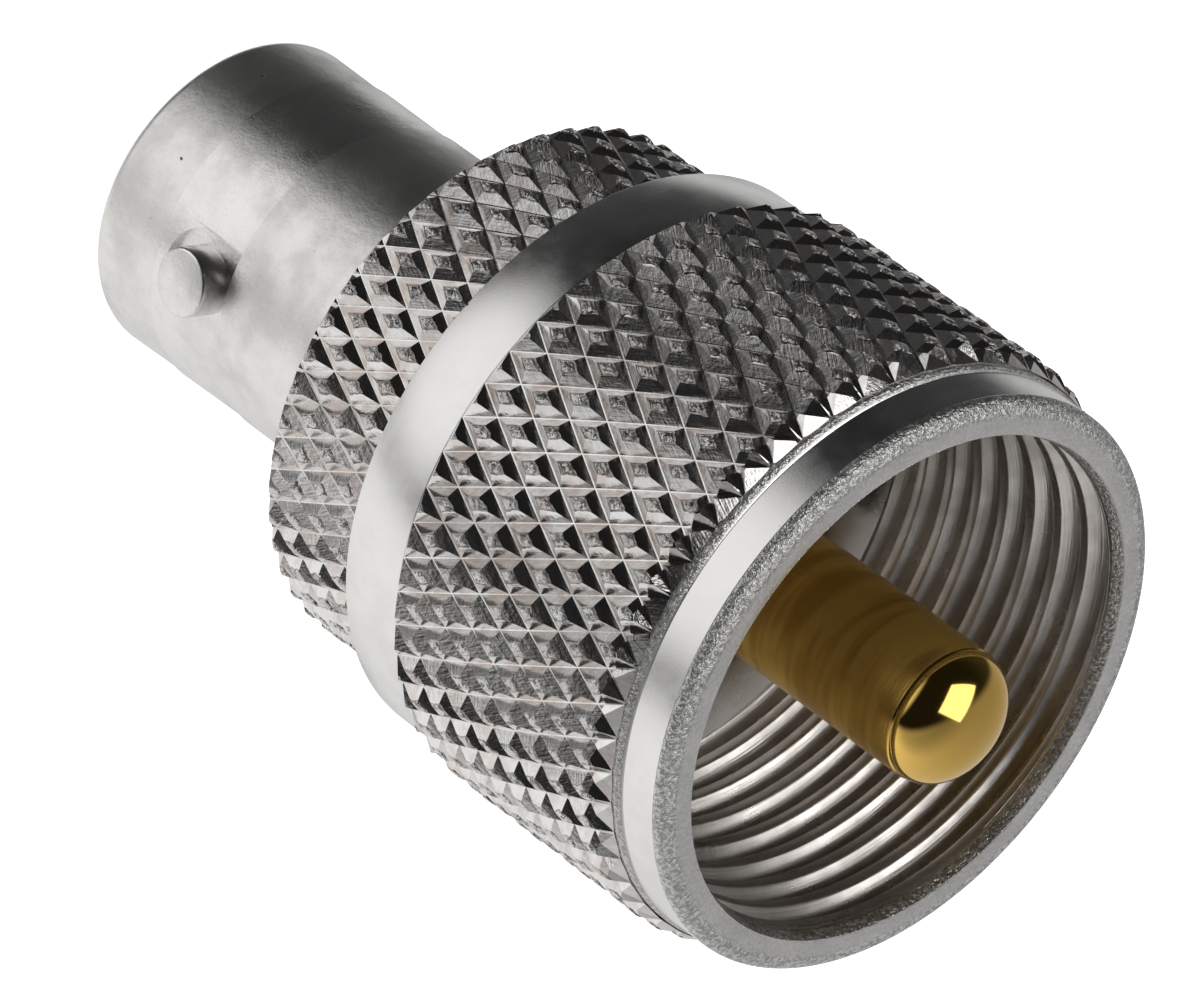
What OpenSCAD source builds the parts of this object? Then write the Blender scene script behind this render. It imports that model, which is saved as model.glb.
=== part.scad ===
// Straight coaxial adapter: a threaded plug with a knurled coupling nut on one end
// and a bayonet jack with two lugs on the other. It stands on the mouth of the jack,
// with +Z along its axis towards the tip of the plug's pin.

/* [Bayonet jack] */
// Radius of the jack's barrel
barrel_r = 4.83; // [4.7:0.01:5]
// Wall of the barrel round the mouth bore
barrel_wall = 0.77; // [0.68:0.01:0.93]
// Depth of the mouth bore, down to the plane where a plug's shell seats
mouth_depth = 5.2; // [4.8:0.1:5.8]
// Rounding of the barrel's outer edge at the mouth
mouth_round = 0.35; // [0.1:0.05:0.5]
// Chamfer inside the mouth
mouth_chamfer = 0.2; // [0.05:0.05:0.4]
// Length of the barrel from the mouth to its shoulder
barrel_len = 10; // [9.4:0.1:12]
// How far the first turned step is from the mouth
step_a = 2.62; // [1.5:0.01:2.9]
// How far the second turned step is from the mouth
step_b = 5.56; // [5.45:0.01:6.5]
// How much each stretch of the barrel tapers
step_taper = 0.05; // [0.01:0.01:0.1]
// How far the shoulder behind the barrel stands out
shoulder_height = 1.17; // [0.8:0.01:1.3]
// Length of the shoulder
shoulder_len = 0.6; // [0.4:0.05:1.5]
// How far the spigot, which is pressed into the plug's body, steps in from the barrel
spigot_step = 0.23; // [0.1:0.01:0.35]
// Length of the spigot
spigot_len = 3.2; // [2.4:0.1:3.6]
// Wall of the spigot
spigot_wall = 0.7; // [0.5:0.05:0.9]
// Height of the lip at the bottom of the mouth
lip_height = 0.86; // [0.5:0.01:1.1]
// Thickness of that lip
lip_t = 1; // [0.5:0.1:1.5]

/* [Bayonet lugs] */
// Radius of a lug
lug_r = 0.975; // [0.8:0.005:1.1]
// Distance from the mouth to a lug's centre
lug_z = 4.45; // [4.2:0.01:4.6]
// Height of a lug above the barrel
lug_height = 0.7; // [0.5:0.01:0.8]
// Chamfer round a lug's outer face
lug_chamfer = 0.12; // [0.02:0.02:0.3]
// Radius of the flat that is milled round a lug
pocket_r = 1.45; // [1.3:0.05:1.6]

/* [Insulators] */
// Gap between the mouth bore and the rear insulator's nose
mouth_gap = 1.68; // [1.5:0.01:1.9]
// How far the nose lies inside the mouth
nose_recess = 0.3; // [0.1:0.05:0.8]
// Thickness of the front insulator's disc
front_insulator_t = 1.3; // [0.8:0.1:2]
// Wall of the front insulator's hub round the pin
hub_wall = 1.22; // [0.8:0.01:1.6]

/* [Centre contact] */
// Radius of the plug's pin
pin_r = 1.98; // [1.9:0.01:2.05]
// How far the pin's straight shaft stands past the nut's rim at rest
pin_proud = 1.32; // [0.5:0.01:3]
// Height of the pin's domed tip
dome_h = 1.25; // [0.8:0.05:1.98]
// Length of the pin's foot, which sits in the front insulator
pin_seat = 1.7; // [1.4:0.1:2]
// How far the foot steps in from the pin's radius
pin_step = 0.38; // [0.2:0.01:0.6]
// Radius of the stud on the back of the pin
stud_r = 1; // [0.8:0.05:1.2]
// How far the stud goes into the socket contact
stud_grip = 3.3; // [2:0.1:4.5]
// Radius of the socket's bore
socket_bore_r = 0.69; // [0.66:0.01:0.75]
// Wall of the socket's fingers
finger_wall = 0.39; // [0.3:0.01:0.43]
// Chamfer inside the fingertips
finger_lead = 0.1; // [0.02:0.02:0.2]
// Depth of the socket's bore
socket_depth = 5.6; // [5:0.1:6]
// Distance from the jack's mouth to the socket's fingertips
socket_recess = 0.6; // [0.4:0.05:1]
// Width of the slots between the fingers
slot_w = 0.22; // [0.12:0.02:0.24]
// Distance from the end of the slots to the bottom of the bore
slot_end = 0.4; // [0.2:0.1:1]
// Number of slots between the fingers
slots = 4; // [2:2:4]
// Radius of the socket's body inside the rear insulator
socket_body_r = 1.6; // [1.4:0.05:2]
// Distance from the jack's mouth to the socket's body
socket_body_z = 7; // [6.8:0.1:8.5]
// Radial room round the fingers, so that they can spread
finger_room = 0.12; // [0.05:0.01:0.3]

/* [Plug body] */
// Wall of the neck, which the coupling nut turns on, round the spigot
neck_wall = 1.65; // [1.55:0.01:1.8]
// Length of the neck behind the retaining ring's groove
neck_rear = 1.97; // [1.2:0.01:2.4]
// Height of the flange in front of the nut's lip
flange_height = 0.95; // [0.8:0.01:1.05]
// Length of the flange
flange_len = 1.1; // [0.8:0.1:1.6]
// How much smaller the contact shell is than the flange in radius
shell_step = 0.15; // [0.1:0.01:0.4]
// Wall of the contact shell
shell_wall = 1.05; // [0.8:0.01:1.4]
// Distance from the flange's back to the shell's rim
shell_len = 2.2; // [1.8:0.1:2.8]
// Thickness from the flange's back to the front insulator's seat
seat_t = 0.1; // [0.05:0.05:0.3]
// Number of locating teeth on the shell's rim
teeth = 4; // [2:1:6]
// Height of a tooth
tooth_h = 0.9; // [0.4:0.1:1.2]
// Angle that a tooth takes
tooth_angle = 18; // [8:1:30]

/* [Retaining ring] */
// Diameter of the ring's wire
wire_d = 0.9; // [0.7:0.05:1]
// How far the middle of the ring's wire is outside the neck's surface
wire_stand = 0.05; // [0:0.01:0.15]
// Angle of the gap in the ring
ring_gap_angle = 16; // [6:1:40]
// Depth of the ring's groove in the neck
neck_groove_depth = 0.95; // [0.85:0.05:1.05]

/* [Coupling nut] */
// Gap between the neck and the tops of the coupling thread
thread_room = 1.17; // [1.02:0.01:1.22]
// Depth of the plain relief behind the thread
relief_depth = 0.56; // [0.5:0.01:0.6]
// Wall of the nut outside the relief, at the plain band and the collar
nut_wall = 0.42; // [0.37:0.01:0.52]
// Height of the knurl's tops above the plain band
knurl_height = 0.65; // [0.5:0.01:0.9]
// Depth of the knurl's grooves
knurl_depth = 0.3; // [0.15:0.01:0.34]
// Number of diamonds round the nut
knurl_count = 52; // [36:1:60]
// Length of the step from one row of diamonds to the next, half a diamond further round
knurl_row_len = 0.985; // [0.85:0.005:1.1]
// Share of a diamond that its flat top takes
knurl_flat = 0.35; // [0.1:0.01:0.6]
// Length of the rear knurl
rear_knurl_len = 3.66; // [2.8:0.01:4.6]
// Distance from the nut's rear face to the rear knurl's first row of groove crossings
rear_row_z = 0.21; // [0.15:0.01:0.5]
// Length of the plain band
band_len = 2.27; // [1.5:0.01:3]
// Length of the front knurl, up to where the bevelled strip reaches the bottom of its grooves
front_knurl_len = 7.86; // [6.6:0.01:9]
// How far the front knurl's last row of groove crossings lies inside the bevelled strip
front_row_lead = 0.05; // [0.03:0.01:0.1]
// Length of the bevelled strip in front of the knurl
strip_len = 1.08; // [0.5:0.01:1.3]
// Length of the plain collar at the rim
collar_len = 1.63; // [1:0.01:3]
// Chamfer on the rear end
rear_edge = 0.33; // [0.2:0.01:0.4]
// Length of the shallow chamfer on the outside of the rim
rim_chamfer_len = 0.15; // [0.05:0.01:0.3]
// Height of that chamfer, measured towards the axis
rim_chamfer_height = 0.45; // [0.1:0.01:0.5]
// Length of the cone that leads into the thread
thread_lead_len = 0.41; // [0.1:0.01:0.6]
// Height of that cone, measured away from the axis
thread_lead_height = 0.13; // [0.05:0.01:0.4]
// Length of the threaded stretch
thread_len = 9.5; // [8:0.1:10.5]
// Length of the lip that turns on the neck
lip_len = 2.15; // [1.9:0.05:2.6]
// Distance from the nut's rear face to the middle of its ring groove
nut_groove_z = 0.85; // [0.8:0.05:1.05]
// How far the nut slides along the neck
nut_travel = 0.8; // [0.3:0.05:1.2]

/* [Fits] */
// Radial running clearance between the nut and the neck
run_clear = 0.08; // [0.04:0.01:0.1]
// Axial clearance on each side of the retaining ring
ring_clear = 0.03; // [0.01:0.01:0.06]
// Gap that is left between the nut's lip and the flange at the end of the nut's travel
stop_gap = 0.15; // [0.05:0.05:0.4]

/* [Hidden] */
$fn = 96;
cut = 1;
edge_cut = 0.2;
knurl_overlap = 0.15;
corners = 4;
mouth_r = barrel_r - barrel_wall;
lip_bore_r = mouth_r - lip_height;
nose_r = mouth_r - mouth_gap;
shoulder_r = barrel_r + shoulder_height;
spigot_r = barrel_r - spigot_step;
rear_insulator_r = spigot_r - spigot_wall;
lug_reach = barrel_r + lug_height;
lug_flat_x = sqrt(barrel_r * barrel_r - pocket_r * pocket_r);
socket_r = socket_bore_r + finger_wall;
pin_foot_r = pin_r - pin_step;
hub_r = pin_r + hub_wall;
neck_r = spigot_r + neck_wall;
thread_r = neck_r + thread_room;
neck_groove_r = neck_r - neck_groove_depth;
ring_mid_r = neck_r + wire_stand;
ring_seat_r = ring_mid_r + wire_d / 2 + run_clear;
flange_r = neck_r + flange_height;
shell_r = flange_r - shell_step;
front_insulator_r = shell_r - shell_wall;
nut_bore_r = neck_r + run_clear;
relief_r = thread_r + relief_depth;
band_r = relief_r + nut_wall;
knurl_r = band_r + knurl_height;
knurl_floor_r = knurl_r - knurl_depth;
knurl_inner_r = band_r - knurl_overlap;
plug_z = barrel_len + shoulder_len;
groove_lo = plug_z + neck_rear;
ring_z = groove_lo + ring_clear + wire_d / 2;
groove_hi = ring_z + wire_d / 2 + nut_travel + ring_clear;
nut_z = ring_z - nut_groove_z;
nut_len = rear_knurl_len + band_len + front_knurl_len + strip_len + collar_len;
rim_z = nut_z + nut_len;
flange_z = nut_z + lip_len + nut_travel + stop_gap;
septum_z = plug_z + spigot_len;
seat_z = flange_z + seat_t;
disc_z = seat_z + front_insulator_t;
shell_z = flange_z + shell_len;
pin_base_z = disc_z - pin_seat;
stud_z = septum_z - stud_grip;
dome_z = rim_z + pin_proud;

// A point at radius r, angle a and height z
function on_drum(r, a, z) = [r * cos(a), r * sin(a), z];

// Height of the domed tip above its base at radius r, for a dome on a shaft
function dome_at(r) = dome_h * sqrt(max(0, 1 - pow(r / pin_r, 2)));

// Turns an outline of [radius, height] points into a solid
module turned(outline) {
    rotate_extrude() polygon(outline);
}

// Number of the groove crossing at half step i of row j
function crossing(i, j, n) = j * n + ((i - j % 2) / 2 + n) % n;

// A sleeve whose outside is covered with flat-topped diamonds. The grooves between them cross
// on rows that are half a diamond apart. Both ends are rough, and are turned off afterwards.
module knurl_sleeve(z0, rows) {
    n = knurl_count;
    half = 180 / n;
    tops = (rows + 1) * n;
    lower = tops + corners * n * (rows - 1);
    upper = lower + n;
    crossings = [
        for (j = [0 : rows])
            for (k = [0 : n - 1])
                on_drum(knurl_floor_r, half * (2 * k + j % 2), z0 + j * knurl_row_len)
    ];
    diamond_tops = [
        for (j = [1 : rows - 1])
            for (k = [0 : n - 1])
                for (side = [[0, 1], [1, 0], [0, -1], [-1, 0]])
                    on_drum(
                        knurl_r,
                        half * (2 * k + (j + 1) % 2 + side[0] * knurl_flat),
                        z0 + (j + side[1] * knurl_flat) * knurl_row_len
                    )
    ];
    inner_ring = [
        for (z = [z0, z0 + rows * knurl_row_len])
            for (k = [0 : n - 1])
                on_drum(knurl_inner_r, half * 2 * k, z)
    ];
    diamonds = [
        for (j = [1 : rows - 1])
            for (k = [0 : n - 1])
                let (
                    i = 2 * k + (j + 1) % 2,
                    first = tops + corners * ((j - 1) * n + k),
                    top = [for (s = [0 : corners - 1]) first + s],
                    foot = [
                        crossing(i, j + 1, n), crossing(i + 1, j, n),
                        crossing(i, j - 1, n), crossing(i - 1, j, n)
                    ]
                )
                    each concat(
                        [[top[0], top[1], top[2]], [top[0], top[2], top[3]]],
                        [for (s = [0 : corners - 1])
                            let (t = (s + 1) % corners)
                                [foot[s], foot[t], top[t]]],
                        [for (s = [0 : corners - 1])
                            let (t = (s + 1) % corners)
                                [foot[s], top[t], top[s]]]
                    )
    ];
    run_outs = [
        for (k = [0 : n - 1])
            each [
                [crossing(2 * k + 1, 1, n), crossing(2 * k + 2, 0, n), crossing(2 * k, 0, n)],
                [crossing(2 * k, rows, n), crossing(2 * k + 2, rows, n), crossing(2 * k + 1, rows - 1, n)]
            ]
    ];
    ends = [
        for (k = [0 : n - 1])
            let (
                next = (k + 1) % n,
                row_end = rows * n
            )
                each [
                    [lower + k, k, next], [lower + k, next, lower + next],
                    [row_end + k, upper + k, upper + next], [row_end + k, upper + next, row_end + next],
                    [lower + k, lower + next, upper + next], [lower + k, upper + next, upper + k]
                ]
    ];
    polyhedron(
        points = concat(crossings, diamond_tops, inner_ring),
        faces = concat(diamonds, run_outs, ends)
    );
}

// Barrel with its mouth, stepped bores, shoulder and press-fit spigot, and two lugs in milled flats
module jack_body() {
    spigot_z = plug_z + spigot_len;
    color("lightgray") {
        difference() {
            turned([
                [mouth_r + mouth_chamfer, 0],
                [barrel_r - mouth_round, 0],
                for (a = [-75 : 15 : 0])
                    [barrel_r + mouth_round * (cos(a) - 1), mouth_round * (1 + sin(a))],
                [barrel_r - step_taper, step_a],
                [barrel_r, step_a],
                [barrel_r - step_taper, step_b],
                [barrel_r, step_b],
                [barrel_r, barrel_len],
                [shoulder_r - edge_cut, barrel_len],
                [shoulder_r, barrel_len + edge_cut],
                [shoulder_r, plug_z],
                [spigot_r, plug_z],
                [spigot_r, spigot_z],
                [rear_insulator_r, spigot_z],
                [rear_insulator_r, mouth_depth + lip_t],
                [lip_bore_r, mouth_depth + lip_t],
                [lip_bore_r, mouth_depth],
                [mouth_r, mouth_depth],
                [mouth_r, mouth_chamfer]
            ]);
            for (side = [0, 180])
                rotate([0, 0, side]) {
                    translate([lug_flat_x, 0, lug_z])
                        rotate([0, 90, 0])
                            cylinder(r = pocket_r, h = cut);
                    translate([lug_flat_x, -pocket_r, lug_z])
                        cube([cut, 2 * pocket_r, step_b - lug_z]);
                }
        }
        for (side = [0, 180])
            rotate([0, 0, side])
                translate([0, 0, lug_z])
                    rotate([0, 90, 0])
                        rotate_extrude()
                            polygon([
                                [0, (mouth_r + barrel_r) / 2],
                                [lug_r, (mouth_r + barrel_r) / 2],
                                [lug_r, lug_reach - lug_chamfer],
                                [lug_r - lug_chamfer, lug_reach],
                                [0, lug_reach]
                            ]);
    }
}

// Sleeve that centres the socket contact in the jack
module rear_insulator() {
    finger_bore_r = socket_r + finger_room;
    color("white")
        turned([
            [finger_bore_r, nose_recess],
            [nose_r, nose_recess],
            [nose_r, mouth_depth],
            [lip_bore_r, mouth_depth],
            [lip_bore_r, mouth_depth + lip_t],
            [rear_insulator_r, mouth_depth + lip_t],
            [rear_insulator_r, septum_z],
            [socket_body_r, septum_z],
            [socket_body_r, socket_body_z],
            [finger_bore_r, socket_body_z]
        ]);
}

// Slotted socket that takes a plug's thin pin, with a blind bore for the centre pin's stud
module socket_contact() {
    bottom_z = socket_recess + socket_depth;
    color("gold")
        difference() {
            turned([
                [socket_bore_r + finger_lead, socket_recess],
                [socket_r, socket_recess],
                [socket_r, socket_body_z],
                [socket_body_r, socket_body_z],
                [socket_body_r, septum_z],
                [stud_r, septum_z],
                [stud_r, stud_z],
                [0, stud_z],
                [0, bottom_z],
                [socket_bore_r, bottom_z],
                [socket_bore_r, socket_recess + finger_lead]
            ]);
            for (i = [0 : slots / 2 - 1])
                rotate([0, 0, 45 + i * 360 / slots])
                    translate([-cut * 2, -slot_w / 2, socket_recess - cut])
                        cube([cut * 4, slot_w, socket_depth - slot_end + cut]);
        }
}

// Neck with the ring's groove, flange and toothed contact shell
module plug_body() {
    color("silver")
        difference() {
            turned([
                [spigot_r, plug_z],
                [neck_r - edge_cut, plug_z],
                [neck_r, plug_z + edge_cut],
                [neck_r, groove_lo],
                [neck_groove_r, groove_lo],
                [neck_groove_r, groove_hi],
                [neck_r, groove_hi],
                [neck_r, flange_z],
                [flange_r, flange_z],
                [flange_r, flange_z + flange_len],
                [shell_r, flange_z + flange_len + (flange_r - shell_r)],
                [shell_r, shell_z + tooth_h],
                [front_insulator_r, shell_z + tooth_h],
                [front_insulator_r, seat_z],
                [hub_r, seat_z],
                [hub_r, septum_z],
                [spigot_r, septum_z]
            ]);
            for (i = [0 : teeth - 1])
                rotate([0, 0, (i + 0.5) * 360 / teeth + tooth_angle / 2 - 180 / teeth])
                    rotate_extrude(angle = 360 / teeth - tooth_angle)
                        translate([front_insulator_r - cut, shell_z])
                            square([shell_r - front_insulator_r + 2 * cut, tooth_h + cut]);
        }
}

// Disc and hub that centre the pin in the plug
module front_insulator() {
    color("white")
        turned([
            [stud_r, septum_z],
            [hub_r, septum_z],
            [hub_r, seat_z],
            [front_insulator_r, seat_z],
            [front_insulator_r, disc_z],
            [pin_foot_r, disc_z],
            [pin_foot_r, pin_base_z],
            [stud_r, pin_base_z]
        ]);
}

// Domed pin with a stud that is pressed into the socket contact
module centre_pin() {
    dome_steps = 8;
    color("goldenrod")
        turned([
            [0, stud_z],
            [stud_r, stud_z],
            [stud_r, pin_base_z],
            [pin_foot_r, pin_base_z],
            [pin_foot_r, disc_z],
            [pin_r, disc_z],
            for (i = [0 : dome_steps])
                let (r = pin_r * cos(90 * i / dome_steps))
                    [r, dome_z + dome_at(r)]
        ]);
}

// Open wire ring that holds the nut on the neck
module retaining_ring() {
    color("peru")
        translate([0, 0, ring_z])
            rotate([0, 0, ring_gap_angle / 2])
                rotate_extrude(angle = 360 - ring_gap_angle)
                    translate([ring_mid_r, 0])
                        circle(r = wire_d / 2);
}

// Nut with two knurls, a plain band, a collar, a threaded bore and a lip with its ring groove
module coupling_nut() {
    front_start = rear_knurl_len + band_len;
    strip_z = front_start + front_knurl_len;
    thread_start = nut_len - thread_len;
    groove_half = wire_d / 2 + ring_clear;
    blank_r = knurl_r + edge_cut;
    strip_end_r = band_r - knurl_overlap / 2;
    strip_run = strip_len / (knurl_floor_r - band_r);
    strip_end = strip_z + strip_run * (knurl_floor_r - strip_end_r);
    rear_first = rear_row_z - knurl_row_len;
    front_rows_back = ceil(front_knurl_len / knurl_row_len) + 1;
    front_first = strip_z + front_row_lead - front_rows_back * knurl_row_len;
    color("whitesmoke")
        translate([0, 0, nut_z]) {
            turned([
                [nut_bore_r + edge_cut, 0],
                [band_r, 0],
                [band_r, nut_len - rim_chamfer_len],
                [band_r - rim_chamfer_height, nut_len],
                [thread_r + thread_lead_height, nut_len],
                [thread_r, nut_len - thread_lead_len],
                [thread_r, thread_start],
                [relief_r, thread_start - (relief_r - thread_r)],
                [relief_r, lip_len],
                [nut_bore_r, lip_len],
                [nut_bore_r, nut_groove_z + groove_half],
                [ring_seat_r, nut_groove_z + groove_half],
                [ring_seat_r, nut_groove_z - groove_half],
                [nut_bore_r, nut_groove_z - groove_half],
                [nut_bore_r, edge_cut]
            ]);
            intersection() {
                knurl_sleeve(rear_first, ceil((rear_knurl_len - rear_first) / knurl_row_len));
                turned([
                    [0, 0],
                    [knurl_r - rear_edge, 0],
                    [blank_r, rear_edge + edge_cut],
                    [blank_r, rear_knurl_len],
                    [0, rear_knurl_len]
                ]);
            }
            intersection() {
                knurl_sleeve(front_first, ceil((strip_end - front_first) / knurl_row_len));
                turned([
                    [0, front_start],
                    [blank_r, front_start],
                    [blank_r, strip_z - strip_run * (blank_r - knurl_floor_r)],
                    [strip_end_r, strip_end],
                    [0, strip_end]
                ]);
            }
        }
}

jack_body();
rear_insulator();
socket_contact();
plug_body();
front_insulator();
centre_pin();
retaining_ring();
coupling_nut();
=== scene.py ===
"""Visual model of a straight coaxial adapter, laid out as a Blender add-on.

One end is a threaded plug with a knurled coupling nut, the other a bayonet jack with two lugs.
The adapter stands on the jack's mouth, with +Z along its axis.
"""

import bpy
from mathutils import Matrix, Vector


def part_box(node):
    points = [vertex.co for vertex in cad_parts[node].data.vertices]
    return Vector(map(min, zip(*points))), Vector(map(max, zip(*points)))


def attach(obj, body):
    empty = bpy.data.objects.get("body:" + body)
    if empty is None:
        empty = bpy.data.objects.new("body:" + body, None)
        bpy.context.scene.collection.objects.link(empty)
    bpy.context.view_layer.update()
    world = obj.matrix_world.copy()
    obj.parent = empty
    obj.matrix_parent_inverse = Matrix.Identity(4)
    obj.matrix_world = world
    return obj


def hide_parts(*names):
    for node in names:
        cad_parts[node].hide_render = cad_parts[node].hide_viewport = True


bl_info = {
    "name": "Coaxial adapter",
    "version": (1, 0, 0),
    "blender": (4, 5, 0),
    "location": "View3D > Sidebar > Adapter",
    "description": "Models a coaxial adapter round its packed CAD frame",
    "category": "Add Mesh",
}

import math

import bpy
from bpy.props import BoolProperty, FloatProperty, FloatVectorProperty, IntProperty, PointerProperty
from mathutils import Matrix, Vector

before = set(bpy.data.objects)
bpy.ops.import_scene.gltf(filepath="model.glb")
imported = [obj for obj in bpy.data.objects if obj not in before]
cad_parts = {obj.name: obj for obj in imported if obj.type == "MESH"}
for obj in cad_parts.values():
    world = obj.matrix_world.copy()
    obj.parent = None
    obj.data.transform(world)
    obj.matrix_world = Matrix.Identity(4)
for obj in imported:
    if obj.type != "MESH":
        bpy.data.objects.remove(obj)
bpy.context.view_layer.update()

MM = 0.001
TURN = 2 * math.pi
TINY = 2e-6
MEET = 6e-6
STEPS = 144

JACK_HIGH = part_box("jack_body")[1]
NUT_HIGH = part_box("coupling_nut")[1]
PIN_LOW, PIN_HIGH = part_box("centre_pin")
DISC_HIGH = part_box("front_insulator")[1]

# The studio is described by directions from the object, in the model's frame
CAMERA_RIGHT = Vector((-0.7164, -0.2672, 0.6445))
CAMERA_UP = Vector((-0.0983, -0.8759, -0.4724))
CAMERA_BACK = Vector((0.6908, -0.4018, 0.6012))
TABLE_UP = Vector((0.3690, -0.9290, 0.0250))
LEFT_LIGHT = Vector((0.7386, -0.3481, -0.5772))
RIGHT_LIGHT = Vector((-0.1426, -0.3201, 0.9362))


# Sizes and colours

def length(name, description, default):
    return FloatProperty(
        name=name, description=description, default=default, min=0, unit="LENGTH", subtype="DISTANCE"
    )


def number(name, description, default):
    return IntProperty(name=name, description=description, default=default, min=1)


def share(name, description, default):
    return FloatProperty(
        name=name, description=description, default=default, min=0, max=1, subtype="FACTOR"
    )


def colour(name, description, default):
    return FloatVectorProperty(
        name=name, description=description, default=default, min=0, max=1, size=3, subtype="COLOR"
    )


class NutSizes(bpy.types.PropertyGroup):
    """Sizes of the coupling nut"""

    nut_len: length("Nut length", "From the rear end to the rim", 17.1 * MM)
    rear_len: length("Rear knurl length", "Length of the narrower rear knurl", 4.36 * MM)
    band_len: length("Band length", "Length of the plain band between the knurls", 2.11 * MM)
    front_len: length("Front knurl length", "Length of the front knurl at its full radius", 8.17 * MM)
    cone_len: length("Cone length", "Length of the cone in front of the front knurl", 0.94 * MM)
    rear_floor_r: length("Rear groove radius", "Radius of the rear knurl's groove bottoms", 7.8 * MM)
    rear_r: length("Rear knurl radius", "Radius over the rear knurl's tops", 8.07 * MM)
    rear_count: number("Rear diamonds", "Diamonds round the rear knurl", 49)
    rear_row: length("Rear row step", "Step between the rear knurl's rows", 0.975 * MM)
    rear_rows: number("Rear rows", "Rows of diamonds laid for the rear knurl, past both its ends", 7)
    rear_start: length("Rear start", "From the first row up to the rear end", 0.71 * MM)
    rear_turned: FloatProperty(
        name="Rear turn", description="Degrees by which the rear knurl is turned", default=-2.87
    )
    band_r: length("Band radius", "Radius of the plain band", 8.69 * MM)
    front_floor_r: length("Front groove radius", "Radius of the front knurl's groove bottoms", 8.72 * MM)
    front_r: length("Front knurl radius", "Radius over the front knurl's tops", 9.05 * MM)
    front_count: number("Front diamonds", "Diamonds round the front knurl", 52)
    front_row: length("Front row step", "Step between the front knurl's rows", 0.985 * MM)
    front_rows: number("Front rows", "Rows of diamonds laid for the front knurl, past both its ends", 10)
    front_start: length("Front start", "From the knurl's rear end up to the first row", 0.04 * MM)
    front_turned: FloatProperty(
        name="Front turn", description="Degrees by which the front knurl is turned", default=1.61
    )
    knurl_gap: length("Knurl gap", "From the body's shoulders to the ends of the knurls", 0.02 * MM)
    collar_r: length("Collar radius", "Radius of the collar at the rim", 8.56 * MM)
    under: length("Sleeve depth", "From a knurl's groove bottoms down to the body", 0.06 * MM)
    rim_w: length("Rim rounding width", "Width of the rim's rounded outer edge", 0.6 * MM)
    rim_h: length("Rim rounding height", "Height of the rim's rounded outer edge", 0.34 * MM)
    thread_r: length("Thread radius", "Smallest radius of the thread", 7.42 * MM)
    root_r: length("Thread root", "Largest radius of the thread", 7.94 * MM)
    pitch: length("Pitch", "Distance between the turns of the thread", 25.4 / 24 * MM)
    turns: number("Turns", "Turns of the thread", 9)
    lead_len: length("Lead-in length", "Length of the lead-in cone at the rim", 0.41 * MM)
    relief_r: length("Relief radius", "Radius of the plain stretch behind the thread", 7.98 * MM)
    relief_len: length("Relief length", "Length of that stretch", 3.3 * MM)
    lip_len: length("Lip length", "Length of the lip that turns on the neck", 2.75 * MM)
    bore_r: length("Lip bore", "Radius of the lip's bore", 6.33 * MM)
    seat_r: length("Ring seat", "Radius of the groove for the retaining ring", 6.83 * MM)
    seat_z: length("Seat distance", "From the rear end to the middle of that groove", 1.45 * MM)
    seat_w: length("Seat width", "Width of that groove", 0.96 * MM)

    def levels(self):
        """Heights of the rear end, the band, the front knurl, the cone and the collar."""
        rear = NUT_HIGH.z - self.nut_len
        band = rear + self.rear_len
        knurl = band + self.band_len
        cone = knurl + self.front_len
        return rear, band, knurl, cone, cone + self.cone_len

    def cone_at(self, radius):
        """Height at which the cone in front of the knurl has this radius."""
        cone = self.levels()[3]
        return cone + (self.front_r - radius) / (self.front_r - self.collar_r) * self.cone_len


class BarrelSizes(bpy.types.PropertyGroup):
    """Sizes of the bayonet jack's barrel and lugs"""

    barrel_r: length("Barrel radius", "Radius of the barrel", 4.83 * MM)
    mouth_r: length("Mouth radius", "Radius of the mouth bore", 4.06 * MM)
    mouth_depth: length("Mouth depth", "Depth of the mouth bore", 5.2 * MM)
    mouth_round: length("Mouth rounding", "Rounding of the outer edge at the mouth", 0.35 * MM)
    mouth_lead: length("Mouth lead", "Chamfer inside the mouth", 0.2 * MM)
    step_a: length("First step", "From the mouth to the first turned step", 2.62 * MM)
    step_b: length("Second step", "From the mouth to the second turned step", 5.56 * MM)
    taper: length("Taper", "How much each stretch of the barrel tapers", 0.05 * MM)
    barrel_len: length("Barrel length", "From the mouth to the shoulder", 10 * MM)
    shoulder_r: length("Shoulder radius", "Radius of the shoulder", 6 * MM)
    shoulder_len: length("Shoulder length", "Length of the shoulder", 0.6 * MM)
    lip_r: length("Lip radius", "Radius of the lip at the bottom of the mouth", 3.2 * MM)
    lip_len: length("Lip length", "Length of that lip", 1 * MM)
    inner_r: length("Inner radius", "Radius behind the lip", 3.9 * MM)
    spigot_r: length("Spigot radius", "Radius of the spigot", 4.6 * MM)
    lug_r: length("Lug radius", "Radius of a lug", 0.975 * MM)
    lug_z: length("Lug distance", "From the mouth to a lug's centre", 4.45 * MM)
    lug_reach: length("Lug reach", "From the axis to a lug's outer face", 5.53 * MM)
    pocket_r: length("Pocket radius", "Radius of the flat milled round a lug", 1.45 * MM)


class ContactSizes(bpy.types.PropertyGroup):
    """Sizes of the pin"""

    pin_r: length("Pin radius", "Radius of the pin", 1.98 * MM)
    foot_r: length("Foot radius", "Radius of the pin's foot in the insulator", 1.6 * MM)
    foot_len: length("Foot length", "Length of that foot", 1.7 * MM)
    dome_h: length("Dome height", "Height of the pin's domed tip", 1.25 * MM)
    stud_r: length("Stud radius", "Radius of the stud behind the pin", 1 * MM)


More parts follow.
